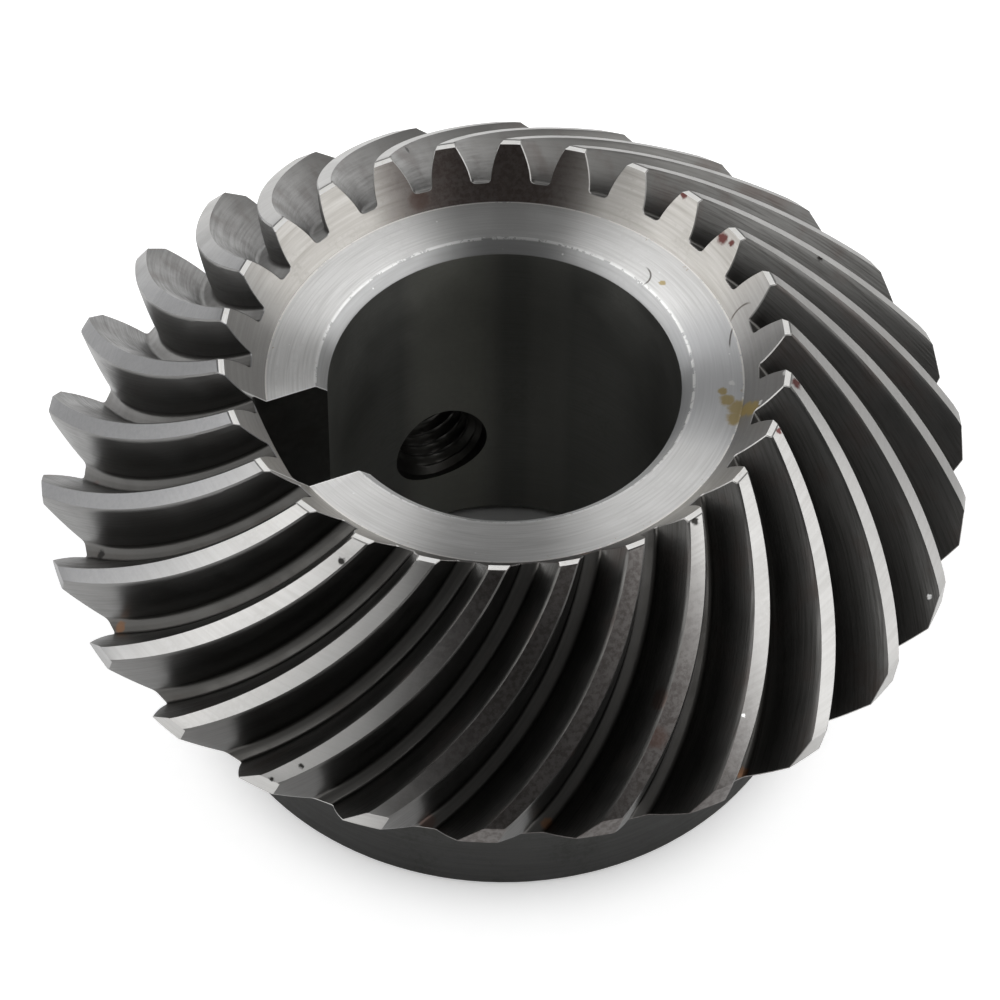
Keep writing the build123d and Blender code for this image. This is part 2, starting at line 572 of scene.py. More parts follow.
def meshFromSkin(name, skin):
    data = bpy.data.meshes.new(name)
    data.from_pydata(np.concatenate(skin["points"]).tolist(), [], skin["faces"])
    data.polygons.foreach_set("material_index", skin["kinds"])
    shape = bmesh.new()
    shape.from_mesh(data)
    bmesh.ops.remove_doubles(shape, verts=shape.verts, dist=meshing["weld"])
    bmesh.ops.recalc_face_normals(shape, faces=shape.faces)
    loose = [edge for edge in shape.edges if not edge.is_manifold]
    print(name, "faces", len(shape.faces), "open edges", len(loose))
    shape.to_mesh(data)
    shape.free()
    made = bpy.data.objects.new(name, data)
    bpy.context.scene.collection.objects.link(made)
    return made


gearObject = meshFromSkin("spiralBevelGear", buildSkin())


def makeCutter(name, points, faces):
    cutterKinds = [kindIndex["keySteel"]] * len(faces)
    return meshFromSkin(name, {"points": [points], "faces": faces, "kinds": cutterKinds})


# how finely the keyway's corners are rounded, and how far its cut runs past the gear in mm
keyCut = {"cornerSteps": 6, "overrun": 2.0}


# keyway with rounded floor corners, as an upright prism through the whole bore
def keyCutter():
    half = gear["keyWidth"] / 2
    floor = -(gear["boreRadius"] + gear["keyDepth"])
    corner = gear["keyCorner"]
    outline = [(0.0, -half), (0.0, half)]
    for middleY, start in ((half - corner, 90), (-half + corner, 180)):
        for step in range(keyCut["cornerSteps"] + 1):
            angle = math.radians(start + 90 / keyCut["cornerSteps"] * step)
            outline.append((floor + corner + corner * math.cos(angle), middleY + corner * math.sin(angle)))
    levels = (-keyCut["overrun"], topHeight + keyCut["overrun"])
    points = [(x, y, z) for z in levels for x, y in outline]
    count = len(outline)
    faces = [list(range(count))[::-1], list(range(count, 2 * count))]
    faces += [[i, (i + 1) % count, (i + 1) % count + count, i + count] for i in range(count)]
    return makeCutter("keyCutter", np.array(points), faces)


# tapped hole: the thread's outline follows a right-hand helix round the hole's axis
screwHole = {
    "height": 11.0,
    "pitch": 1.25,
    "crestRadius": 3.38,
    "rootRadius": 4.0,
    "reliefRadius": 4.4,
    "reliefEnd": 15.5,
    "mouth": 26.5,
    "mouthRadius": 3.4,
    "mouthEase": 0.15,
    "rootFlat": 0.125,
    "crestFrom": 0.75,
    "start": 13.0,
    "end": 28.0,
    "around": 56,
    "perTurn": 12,
}


def screwCutter():
    hole = screwHole
    rows = int((hole["end"] - hole["start"]) / hole["pitch"] * hole["perTurn"])
    travel = np.linspace(hole["start"], hole["end"], rows + 1)[:, None]
    turn = np.linspace(0, 2 * math.pi, hole["around"], endpoint=False)[None]
    phase = (travel / hole["pitch"] - turn / (2 * math.pi)) % 1
    flat = np.abs(2 * phase - 1)
    thread = [hole["rootRadius"], hole["crestRadius"]]
    radius = np.interp(flat, [hole["rootFlat"], hole["crestFrom"]], thread)
    relief = hole["reliefRadius"] - (travel - hole["reliefEnd"])
    relief = np.where(travel < hole["reliefEnd"], hole["reliefRadius"], relief)
    mouth = hole["mouthRadius"] + (travel - hole["mouth"]) + hole["mouthEase"]
    radius = np.maximum(radius, np.maximum(relief, mouth))
    points = np.stack([
        radius * np.sin(turn),
        np.broadcast_to(travel, radius.shape),
        hole["height"] + radius * np.cos(turn),
    ], -1).reshape(-1, 3)
    around = hole["around"]
    faces = [list(range(around)), list(range(rows * around, (rows + 1) * around))[::-1]]
    for row in range(rows):
        for column in range(around):
            following = (column + 1) % around
            first, second = row * around, (row + 1) * around
            faces.append([first + column, second + column, second + following, first + following])
    return makeCutter("screwCutter", points, faces)


def cutAway(target, cutter):
    modifier = target.modifiers.new("cut", "BOOLEAN")
    modifier.operation = "DIFFERENCE"
    modifier.solver = "EXACT"
    modifier.object = cutter
    evaluated = target.evaluated_get(bpy.context.evaluated_depsgraph_get())
    made = bpy.data.meshes.new_from_object(evaluated)
    target.modifiers.clear()
    old = target.data
    target.data = made
    bpy.data.meshes.remove(old)
    bpy.data.objects.remove(cutter)


for cutter in (keyCutter(), screwCutter()):
    cutAway(gearObject, cutter)
print("keyway and tapped hole cut:", len(gearObject.data.polygons), "faces")


# how far past the ends of the teeth the curve of a gap is followed
followed = {"pastToe": 2.0, "pastHeel": 3.0}


# where each point lies on the teeth, kept for the materials
def markTeeth(target):
    count = len(target.data.vertices)
    points = np.empty(count * 3)
    target.data.vertices.foreach_get("co", points)
    x, y, z = points.reshape(-1, 3).T
    radius = np.hypot(x, y)
    cone = (radius + apexHeight - z) * rootHalf
    lift = (radius - apexHeight + z) * rootHalf
    reach = np.clip(cone, innerCone - followed["pastToe"], outerCone + followed["pastHeel"])
    turn = (np.arctan2(y, x) - gapAzimuth(reach)) / toothStep
    marks = {
        "alongTooth": cone,
        "offPitch": lift,
        "gapNumber": np.round(turn) % gear["teeth"],
        "acrossGap": turn - np.round(turn),
    }
    for name, values in marks.items():
        mark = target.data.attributes.new(name, "FLOAT", "POINT")
        mark.data.foreach_set("value", values.astype(np.float32))


markTeeth(gearObject)
gearObject.data.transform(Matrix.Scale(mm, 4))
gearObject.data.shade_smooth()
gearObject.data.set_sharp_from_angle(angle=math.radians(meshing["sharpAngle"]))
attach(gearObject, "root")
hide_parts("gear")


# small helpers for the node trees
def newMaterial(name):
    made = bpy.data.materials.new(name)
    made.use_nodes = True
    return made, made.node_tree, made.node_tree.nodes["Principled BSDF"]


def feed(tree, socket, value):
    if isinstance(value, bpy.types.NodeSocket):
        tree.links.new(value, socket)
    else:
        socket.default_value = value


def mathNode(tree, operation, first, second=0.0):
    node = tree.nodes.new("ShaderNodeMath")
    node.operation = operation
    feed(tree, node.inputs[0], first)
    feed(tree, node.inputs[1], second)
    return node.outputs[0]


def times(tree, first, second):
    return mathNode(tree, "MULTIPLY", first, second)


def hypotenuse(tree, x, y):
    return mathNode(tree, "SQRT", mathNode(tree, "ADD", times(tree, x, x), times(tree, y, y)))


def vectorNode(tree, operation, *values):
    node = tree.nodes.new("ShaderNodeVectorMath")
    node.operation = operation
    for socket, value in zip(node.inputs, values):
        feed(tree, socket, value)
    return node


def ramp(tree, value, low, high, start=0.0, end=1.0, soft=True):
    node = tree.nodes.new("ShaderNodeMapRange")
    node.interpolation_type = "SMOOTHSTEP" if soft else "LINEAR"
    for name, setting in (("From Min", low), ("From Max", high), ("To Min", start), ("To Max", end)):
        feed(tree, node.inputs[name], setting)
    feed(tree, node.inputs["Value"], value)
    return node.outputs["Result"]


def blendColour(tree, share, first, second):
    node = tree.nodes.new("ShaderNodeMix")
    node.data_type = "RGBA"
    feed(tree, node.inputs["Factor"], share)
    for socket, value in ((node.inputs[6], first), (node.inputs[7], second)):
        feed(tree, socket, value if isinstance(value, bpy.types.NodeSocket) else (*value, 1))
    return node.outputs[2]


def joinVector(tree, x, y, z):
    node = tree.nodes.new("ShaderNodeCombineXYZ")
    for socket, value in zip(node.inputs, (x, y, z)):
        feed(tree, socket, value)
    return node.outputs[0]


def grain(tree, vector, scale=1.0, detail=2.0, roughness=0.5):
    node = tree.nodes.new("ShaderNodeTexNoise")
    node.inputs["Scale"].default_value = scale
    node.inputs["Detail"].default_value = detail
    node.inputs["Roughness"].default_value = roughness
    tree.links.new(vector, node.inputs["Vector"])
    return node.outputs["Fac"]


def attribute(tree, name):
    node = tree.nodes.new("ShaderNodeAttribute")
    node.attribute_name = name
    return node.outputs["Fac"]


def bump(tree, height, distance, strength=1.0):
    node = tree.nodes.new("ShaderNodeBump")
    feed(tree, node.inputs["Strength"], strength)
    node.inputs["Distance"].default_value = distance
    tree.links.new(height, node.inputs["Height"])
    return node.outputs["Normal"]


# 1 where a value meets its target, fading to 0 at a width on either side
def nearTo(tree, value, target, width, core=0.4):
    off = mathNode(tree, "ABSOLUTE", mathNode(tree, "SUBTRACT", value, target))
    return ramp(tree, off, width, width * core)


def wireShader(tree, shader, colour, rough, normal):
    for name, socket in (("Base Color", colour), ("Roughness", rough), ("Normal", normal)):
        tree.links.new(socket, shader.inputs[name])


# the point in mm, with its distance and angle about the shaft axis
def placeOnGear(tree):
    coordinate = tree.nodes.new("ShaderNodeTexCoord")
    scaled = vectorNode(tree, "SCALE", coordinate.outputs["Object"])
    scaled.inputs["Scale"].default_value = 1 / mm
    split = tree.nodes.new("ShaderNodeSeparateXYZ")
    tree.links.new(scaled.outputs[0], split.inputs[0])
    x, y, z = split.outputs
    turn = mathNode(tree, "ARCTAN2", y, x)
    radius = hypotenuse(tree, x, y)
    return {"point": scaled.outputs[0], "x": x, "y": y, "radius": radius, "turn": turn, "height": z}


# places that are marked on the steel: x, y, z and size in mm
surfaceMarks = {
    "brownStain": {
        "colour": (0.085, 0.045, 0.035),
        "strength": 0.5,
        "spots": [
            (0.7, 21.0, 37.0, 1.2), (-33.0, 13.0, 22.5, 0.7), (-0.2, -33.0, 31.4, 1.2),
            (-1.5, -35.5, 30.0, 1.2), (-8.0, -35.0, 30.0, 1.2), (-19.5, -30.5, 21.5, 0.9),
        ],
    },
    "oilStain": {
        "colour": (0.50, 0.37, 0.12),
        "strength": 0.8,
        "spots": [
            (16.3, -8.6, 36.2, 0.5), (16.3, -9.6, 36.2, 0.8), (16.8, -10.8, 36.2, 1.2),
            (16.0, -11.7, 36.2, 0.9), (17.3, -11.5, 36.5, 1.0), (17.5, -12.1, 37.2, 1.0),
            (16.6, 4.7, 36.2, 0.4),
        ],
    },
    "rustOrange": {
        "colour": (0.22, 0.10, 0.04),
        "strength": 0.6,
        "spots": [
            (-1.6, -21.0, 37.0, 0.6), (-10.5, -34.5, 21.5, 0.7), (6.5, -36.0, 21.5, 0.7),
            (-36.0, -2.0, 21.7, 0.7), (17.0, -12.3, 36.3, 0.5),
        ],
    },
    "rustRed": {
        "colour": (0.09, 0.010, 0.008),
        "strength": 0.9,
        "spots": [
            (21.0, 10.3, 39.9, 0.45), (22.3, 5.0, 39.2, 0.7), (22.7, 4.0, 39.4, 0.4),
            (21.0, -12.8, 39.7, 0.6), (17.4, -17.1, 39.8, 0.4),
        ],
    },
    # pits drawn near black: partly their own dark, partly painted shade inside them
    "pitWithShade": {
        "colour": (0.010, 0.009, 0.008),
        "strength": 0.95,
        "spots": [
            (2.2, 27.5, 36.5, 0.4), (-20.7, -15.3, 38.6, 0.4), (7.0, -23.3, 39.9, 0.45),
            (-31.0, -25.0, 26.3, 0.35), (-28.5, -25.5, 27.5, 0.3), (-35.0, 5.6, 22.3, 0.6),
            (32.0, 5.0, 32.7, 0.4),
        ],
    },
    # nicks with painted glints: white spots where nicks catch the light
    "nickWithGlint": {
        "colour": (0.95, 0.95, 0.94),
        "strength": 0.85,
        "spots": [
            (20.5, -11.5, 39.9, 0.3), (1.0, -24.0, 40.0, 0.3), (-14.5, -18.8, 40.0, 0.35),
            (27.0, -28.0, 25.8, 0.26), (6.2, -35.7, 29.3, 0.2), (18.0, -12.2, 38.0, 0.3),
            (17.4, -8.0, 36.2, 0.3),
        ],
    },
}

# how far into a mark its full colour reaches, and how its edge is made ragged; sizes in mm
markEdge = {"core": 0.5, "scale": 2.6, "shift": 0.5}

# fine scratches that bend: middle x and y, radius and width of the arc, then the place in mm where it shows
arcScratches = [
    (14.9, 6.4, 1.28, 0.11, (15.9, 5.8, 36.2, 1.3)),
    (20.95, -2.4, 1.08, 0.12, (21.0, -1.5, 37.2, 1.5)),
    (26.3, -7.36, 8.0, 0.10, (19.45, -3.25, 36.2, 1.3)),
]
scratchFinish = {"colour": (0.10, 0.085, 0.075), "strength": 0.85, "core": 0.3}


# how strongly a marked place shows at a point: 1 at its middle, 0 past its size
def spotMask(tree, point, spots):
    total = 0.0
    for x, y, z, size in spots:
        away = vectorNode(tree, "DISTANCE", point, (x, y, z)).outputs["Value"]
        total = mathNode(tree, "MAXIMUM", total, ramp(tree, away, size, size * markEdge["core"]))
    return total


# which finish lies nearest to a marked place
def kindAt(spot):
    found, _place, _normal, index = gearObject.closest_point_on_mesh(Vector(spot[:3]) * mm)
    return kinds[gearObject.data.polygons[index].material_index] if found else ""


# the place on the gear pushed about a little, so that marks have ragged edges
def raggedPoint(tree, place):
    shift = tree.nodes.new("ShaderNodeTexNoise")
    shift.inputs["Scale"].default_value = markEdge["scale"]
    shift.inputs["Detail"].default_value = 2.0
    tree.links.new(place["point"], shift.inputs["Vector"])
    centred = vectorNode(tree, "SUBTRACT", shift.outputs["Color"], (0.5, 0.5, 0.5))
    push = (markEdge["shift"],) * 3
    return vectorNode(tree, "MULTIPLY_ADD", centred.outputs[0], push, place["point"]).outputs[0]


def withMarks(tree, place, kind, colour):
    point = None
    for mark in surfaceMarks.values():
        spots = [spot for spot in mark["spots"] if kindAt(spot) == kind]
        if not spots:
            continue
        if point is None:
            point = raggedPoint(tree, place)
        share = times(tree, spotMask(tree, point, spots), mark["strength"])
        colour = blendColour(tree, share, colour, mark["colour"])
    return colour


def withScratches(tree, place, colour):
    for middleX, middleY, radius, width, spot in arcScratches:
        offX = mathNode(tree, "SUBTRACT", place["x"], middleX)
        offY = mathNode(tree, "SUBTRACT", place["y"], middleY)
        onArc = nearTo(tree, hypotenuse(tree, offX, offY), radius, width, scratchFinish["core"])
        share = times(tree, onArc, spotMask(tree, place["point"], [spot]))
        share = times(tree, share, scratchFinish["strength"])
        colour = blendColour(tree, share, colour, scratchFinish["colour"])
    return colour


sideCore = 0.35  # share of a side's reach that is fully covered


# 1 towards an azimuth in degrees, fading to 0 at the reach on either side; the mask of the painted light and
# shade by side
def sideShare(tree, place, azimuth, reach):
    turn = math.radians(azimuth)
    alongX = times(tree, place["x"], math.cos(turn))
    alongY = times(tree, place["y"], math.sin(turn))
    cosine = mathNode(tree, "DIVIDE", mathNode(tree, "ADD", alongX, alongY), place["radius"])
    outer, inner = math.cos(math.radians(reach)), math.cos(math.radians(reach * sideCore))
    return ramp(tree, cosine, outer, inner)


# turned faces: rings of tool marks round the shaft axis, which stretch the highlights outward.
# Each entry of painted light and shade is an azimuth and a reach in degrees, a colour, a strength and how
# mottled it is: painted shade where its colour is darker than the finish, painted light where lighter.
turnedFinishes = {
    "ringSteel": {
        "colour": (0.93, 0.925, 0.915),
        "worn": (0.72, 0.715, 0.70),
        "wornStrength": 0.5,
        "roughness": (0.40, 0.46),
        "metallic": 1.0,
        "anisotropy": 1.0,
        "grooves": 5.0,
        "grooveShade": 0.75,
        "grooveDepth": 5e-6,
        # painted shade: the flat ring drawn darker on two sides
        "paintedLightAndShade": [
            (-23.0, 30.0, (0.62, 0.63, 0.65), 0.6, 0.0),
            (70.0, 26.0, (0.55, 0.55, 0.54), 0.55, 0.0),
        ],
    },
    "frontSteel": {
        "colour": (0.52, 0.505, 0.48),
        "worn": (0.34, 0.32, 0.29),
        "wornStrength": 0.5,
        "roughness": (0.34, 0.42),
        "metallic": 1.0,
        "anisotropy": 0.95,
        "grooves": 3.2,
        "grooveShade": 0.6,
        "grooveDepth": 7e-6,
        # painted shade: the front cone drawn near black on the far and near sides and greyer on the two lamp
        # sides
        "paintedLightAndShade": [
            (72.0, 30.0, (0.075, 0.055, 0.050), 0.92, 0.1),
            (-107.0, 38.0, (0.035, 0.032, 0.030), 0.95, 0.1),
            (-28.0, 34.0, (0.25, 0.25, 0.255), 0.7, 0.1),
            (157.0, 30.0, (0.28, 0.28, 0.28), 0.6, 0.1),
        ],
    },
    # painted highlight: the toe's top flats drawn near white and rough, for burred edges that catch light
    # from everywhere
    "tipSteel": {
        "colour": (0.97, 0.965, 0.95),
        "worn": (0.80, 0.77, 0.72),
        "wornStrength": 0.6,
        "roughness": (0.40, 0.55),
        "metallic": 0.45,
        "anisotropy": 0.0,
        "grooves": 2.4,
        "grooveShade": 0.4,
        "grooveDepth": 9e-5,
        "paintedLightAndShade": [],
    },
    "landSteel": {
        "colour": (0.47, 0.465, 0.455),
        "worn": (0.36, 0.35, 0.335),
        "wornStrength": 0.4,
        "roughness": (0.30, 0.40),
        "metallic": 1.0,
        "anisotropy": 0.6,
        "grooves": 4.0,
        "grooveShade": 0.35,
        "grooveDepth": 6e-6,
        # painted shade: the lands drawn dark on the near side and greyer on two other sides
        "paintedLightAndShade": [
            (-102.0, 32.0, (0.052, 0.044, 0.041), 0.94, 0.12),
            (157.0, 46.0, (0.20, 0.202, 0.21), 0.8, 0.1),
            (25.0, 62.0, (0.27, 0.265, 0.255), 0.75, 0.1),
        ],
    },
    # painted shade: the bore's steel drawn darker than the other turned faces, for the shade inside the bore
    "boreSteel": {
        "colour": (0.22, 0.222, 0.208),
        "worn": (0.17, 0.17, 0.157),
        "wornStrength": 0.6,
        "roughness": (0.34, 0.42),
        "metallic": 1.0,
        "anisotropy": 0.7,
        "grooves": 5.0,
        "grooveShade": 0.5,
        "grooveDepth": 5e-6,
        # painted light on two sides of the bore and painted shade on a third
        "paintedLightAndShade": [
            (86.0, 20.0, (0.40, 0.40, 0.36), 0.7, 0.1),
            (52.0, 9.0, (0.27, 0.27, 0.25), 0.6, 0.1),
            (-23.0, 50.0, (0.10, 0.10, 0.095), 0.75, 0.1),
        ],
    },
    # painted shade: the hub's steel drawn far darker than the other turned faces, for the shade under the
    # teeth
    "hubSteel": {
        "colour": (0.085, 0.085, 0.083),
        "worn": (0.055, 0.055, 0.051),
        "wornStrength": 0.8,
        "roughness": (0.34, 0.5),
        "metallic": 1.0,
        "anisotropy": 0.6,
        "grooves": 2.6,
        "grooveShade": 0.35,
        "grooveDepth": 8e-6,
        "paintedLightAndShade": [],
    },
}

# bright nicks along the two edges of the flat ring, partly real chips and partly painted glints where the
# edges catch light: radius and width in mm, how close together they are, how much of the edge stays bare,
# and their colour
ringNicksAndGlints = [
    (16.0, 0.17, 1.1, 0.44, (1.0, 1.0, 0.99)),
    (20.2, 0.14, 0.7, 0.40, (1.0, 0.98, 0.95)),
    (19.95, 0.2, 0.6, 0.62, (0.64, 0.58, 0.50)),
]
nickAndGlintFade = 0.05


def withNicksAndGlints(tree, place, colour):
    for radius, width, scale, bare, nickAndGlintColour in ringNicksAndGlints:
        around = joinVector(tree, place["x"], place["y"], radius)
        dashes = grain(tree, around, scale=scale, detail=4.0, roughness=0.75)
        dashes = ramp(tree, dashes, bare, bare + nickAndGlintFade)
        share = times(tree, dashes, nearTo(tree, place["radius"], radius, width))
        colour = blendColour(tree, share, colour, nickAndGlintColour)
    return colour


# painted shade: the chamfer at the mouth of the bore drawn darker than the flat beside it
chamferShade = {"radius": 15.98, "fade": 0.03, "strength": 0.55, "colour": (0.34, 0.345, 0.35)}


def withChamfer(tree, place, colour):
    radius, fade = chamferShade["radius"], chamferShade["fade"]
    share = times(tree, ramp(tree, place["radius"], radius + fade, radius - fade), chamferShade["strength"])
    return blendColour(tree, share, colour, chamferShade["colour"])


# painted glints: bright white specks scattered over the ring
glintSpecks = {"scale": 0.85, "size": 0.11, "core": 0.4, "bare": 0.66, "colour": (1.0, 1.0, 1.0)}


def withGlintSpecks(tree, place, colour):
    cells = tree.nodes.new("ShaderNodeTexVoronoi")
    cells.inputs["Scale"].default_value = glintSpecks["scale"]
    tree.links.new(place["point"], cells.inputs["Vector"])
    size = glintSpecks["size"]
    near = ramp(tree, cells.outputs["Distance"], size, size * glintSpecks["core"])
    few = mathNode(tree, "GREATER_THAN", cells.outputs["Color"], glintSpecks["bare"])
    return blendColour(tree, times(tree, near, few), colour, glintSpecks["colour"])


# painted highlight along the two top edges of the keyway, where burrs catch the light
keyEdgeHighlight = {"width": 0.16, "strength": 0.8, "colour": (1.0, 1.0, 0.99)}


def withKeyEdgeHighlight(tree, place, colour):
    offMiddle = mathNode(tree, "ABSOLUTE", place["y"])
    share = nearTo(tree, offMiddle, gear["keyWidth"] / 2, keyEdgeHighlight["width"])
    share = times(tree, share, mathNode(tree, "LESS_THAN", place["x"], 0.0))
    return blendColour(tree, times(tree, share, keyEdgeHighlight["strength"]), colour, keyEdgeHighlight["colour"])


# grain that the turned faces share: scales per mm, and the range of grain over which each effect comes in
turnedGrain = {
    "aroundScale": 2.5,
    "patchScale": 0.16,
    "speckleScale": 2.2,
    "wornRange": (0.2, 0.42),
    "grooveRange": (0.34, 0.66),
    "clearRange": (0.36, 0.62),
    "roughRange": (0.3, 0.7),
    "roughFromPatches": 0.6,
    "roughFromGrooves": 0.4,
    "highlightTurn": 0.25,
}


def turnedColour(tree, place, name, groove, patches, speckle):
    finish = turnedFinishes[name]
    spotty = times(tree, patches, speckle)
    wornShare = ramp(tree, spotty, *turnedGrain["wornRange"], 0.0, finish["wornStrength"])
    shade = ramp(tree, groove, *turnedGrain["grooveRange"], 0.0, finish["grooveShade"], soft=False)
    dull = mathNode(tree, "MAXIMUM", wornShare, shade)
    colour = blendColour(tree, dull, finish["colour"], finish["worn"])
    # painted light and shade on whole sides of the gear, by azimuth, standing in for how the lamps fall
    for azimuth, reach, paintedSideColour, strength, mottled in finish["paintedLightAndShade"]:
        share = times(tree, sideShare(tree, place, azimuth, reach), strength)
        clear = ramp(tree, speckle, *turnedGrain["clearRange"], 1.0, 1.0 - mottled)
        colour = blendColour(tree, times(tree, share, clear), colour, paintedSideColour)
    if name == "ringSteel":
        colour = withChamfer(tree, place, colour)
        colour = withNicksAndGlints(tree, place, withGlintSpecks(tree, place, colour))
    if name in ("ringSteel", "frontSteel"):
        colour = withKeyEdgeHighlight(tree, place, withScratches(tree, place, colour))
    return withMarks(tree, place, name, colour)


def turnedSteel(name):
    finish = turnedFinishes[name]
    made, tree, shader = newMaterial(name)
    place = placeOnGear(tree)
    rings = joinVector(
        tree,
        times(tree, place["radius"], finish["grooves"]),
        times(tree, place["turn"], turnedGrain["aroundScale"]),
        times(tree, place["height"], finish["grooves"]),
    )
    groove = grain(tree, rings, detail=3.0, roughness=0.6)
    patches = grain(tree, place["point"], scale=turnedGrain["patchScale"], detail=4.0, roughness=0.6)
    speckle = grain(tree, place["point"], scale=turnedGrain["speckleScale"], detail=3.0, roughness=0.7)
    colour = turnedColour(tree, place, name, groove, patches, speckle)
    uneven = mathNode(
        tree,
        "ADD",
        times(tree, patches, turnedGrain["roughFromPatches"]),
        times(tree, groove, turnedGrain["roughFromGrooves"]),
    )
    rough = ramp(tree, uneven, *turnedGrain["roughRange"], *finish["roughness"])
    tangent = tree.nodes.new("ShaderNodeTangent")
    tangent.direction_type = "RADIAL"
    tangent.axis = "Z"
    tree.links.new(tangent.outputs[0], shader.inputs["Tangent"])
    shader.inputs["Metallic"].default_value = finish["metallic"]
    shader.inputs["Anisotropic"].default_value = finish["anisotropy"]
    shader.inputs["Anisotropic Rotation"].default_value = turnedGrain["highlightTurn"]
    wireShader(tree, shader, colour, rough, bump(tree, groove, finish["grooveDepth"]))
    return made


# cut faces of the teeth: scratches run along the tooth, and the two flanks of a tooth are coloured
# differently.
# Lengths are in mm, scales per mm, and a range is the range of grain over which an effect comes in.
flankFinish = {
    "convex": (0.122, 0.120, 0.116),
    "concave": (0.190, 0.188, 0.184),
    "dark": (0.070, 0.068, 0.064),
    "darkOnConvex": 0.8,
    "darkOnConcave": 0.12,
    "darkRange": (0.42, 0.68),
    "tinge": (0.085, 0.045, 0.035),
    "tingeStrength": 0.25,
    "tingeRange": (0.5, 0.72),
    "roughness": (0.30, 0.46),
    "roughRange": (0.32, 0.68),
    # painted shade: the roots of the gaps drawn darker
    "rootShadeColour": (0.078, 0.075, 0.070),
    "rootShadeStrength": 0.7,
    "alongScale": 0.22,
    "acrossScale": 5.5,
    "gapShift": 7.3,
    "patchScale": 0.22,
    "scratchDepth": 1.4e-5,
    "concaveBump": 0.22,
    # painted light: convex flanks drawn lighter on the far side
    "farSideLight": (0.17, 0.167, 0.16),
    "farAzimuth": 80.0,
    "farReach": 60.0,
    "farStrength": 0.85,
    # painted shade: concave flanks drawn darker on the near side
    "nearSideShade": (0.055, 0.053, 0.050),
    "nearAzimuth": -125.0,
    "nearReach": 50.0,
    "nearStrength": 0.7,
    "sideFade": 0.02,
}


# a value on the concave flanks and another on the convex ones
def bySide(tree, across, concave, convex):
    return ramp(tree, across, -flankFinish["sideFade"], flankFinish["sideFade"], concave, convex)


def flankColour(tree, place, name, across, scratch, patches):
    finish = flankFinish
    convexShare = bySide(tree, across, 0.0, 1.0)
    steel = blendColour(tree, convexShare, finish["concave"], finish["convex"])
    darkest = bySide(tree, across, finish["darkOnConcave"], finish["darkOnConvex"])
    dark = ramp(tree, scratch, *finish["darkRange"], 0.0, darkest)
    colour = blendColour(tree, dark, steel, finish["dark"])
    # painted light: convex flanks lighter on the far side
    far = sideShare(tree, place, finish["farAzimuth"], finish["farReach"])
    far = times(tree, far, bySide(tree, across, 0.0, finish["farStrength"]))
    colour = blendColour(tree, far, colour, finish["farSideLight"])
    tinged = ramp(tree, patches, *finish["tingeRange"], 0.0, finish["tingeStrength"])
    colour = blendColour(tree, times(tree, tinged, convexShare), colour, finish["tinge"])
    # painted shade in the roots of the gaps
    if name == "rootSteel":
        colour = blendColour(tree, finish["rootShadeStrength"], colour, finish["rootShadeColour"])
    # painted shade: concave flanks darker on the near side
    near = sideShare(tree, place, finish["nearAzimuth"], finish["nearReach"])
    near = times(tree, near, bySide(tree, across, finish["nearStrength"], 0.0))
    colour = blendColour(tree, near, colour, finish["nearSideShade"])
    return withMarks(tree, place, name, colour)


def flankSteel(name):
    finish = flankFinish
    made, tree, shader = newMaterial(name)
    place = placeOnGear(tree)
    across = attribute(tree, "acrossGap")
    lines = joinVector(
        tree,
        times(tree, attribute(tree, "alongTooth"), finish["alongScale"]),
        times(tree, attribute(tree, "offPitch"), finish["acrossScale"]),
        times(tree, attribute(tree, "gapNumber"), finish["gapShift"]),
    )
    scratch = grain(tree, lines, detail=4.0, roughness=0.65)
    patches = grain(tree, place["point"], scale=finish["patchScale"], detail=4.0, roughness=0.6)
    colour = flankColour(tree, place, name, across, scratch, patches)
    uneven = mathNode(tree, "ADD", times(tree, patches, 0.5), times(tree, scratch, 0.5))
    rough = ramp(tree, uneven, *finish["roughRange"], *finish["roughness"])
    strength = bySide(tree, across, finish["concaveBump"], 1.0)
    shader.inputs["Metallic"].default_value = 1
    wireShader(tree, shader, colour, rough, bump(tree, scratch, finish["scratchDepth"], strength=strength))
    return made


# broached keyway and cut thread: strokes run along the shaft axis
keyFinish = {
    "colour": (0.15, 0.148, 0.14),
    "worn": (0.08, 0.076, 0.07),
    "wornRange": (0.35, 0.7),
    "roughness": (0.34, 0.52),
    "roughRange": (0.3, 0.7),
    "strokes": (4.0, 4.0, 0.15),
    "patchScale": 0.3,
    "strokeDepth": 1e-5,
}


def keySteel(name):
    finish = keyFinish
    made, tree, shader = newMaterial(name)
    place = placeOnGear(tree)
    axes = (place["x"], place["y"], place["height"])
    strokes = [times(tree, axis, scale) for axis, scale in zip(axes, finish["strokes"])]
    stroke = grain(tree, joinVector(tree, *strokes), detail=3.0)
    patches = grain(tree, place["point"], scale=finish["patchScale"], detail=3.0)
    colour = blendColour(tree, ramp(tree, patches, *finish["wornRange"]), finish["colour"], finish["worn"])
    rough = ramp(tree, patches, *finish["roughRange"], *finish["roughness"])
    shader.inputs["Metallic"].default_value = 1
    wireShader(tree, shader, colour, rough, bump(tree, stroke, finish["strokeDepth"]))
    return made


finishMaterials = []
for kind in kinds:
    if kind in turnedFinishes:
        finishMaterials.append(turnedSteel(kind))
    elif kind == "keySteel":
        finishMaterials.append(keySteel(kind))
    else:
        finishMaterials.append(flankSteel(kind))
for finishMaterial in finishMaterials:
    gearObject.data.materials.append(finishMaterial)
print("finishes made:", len(kinds))


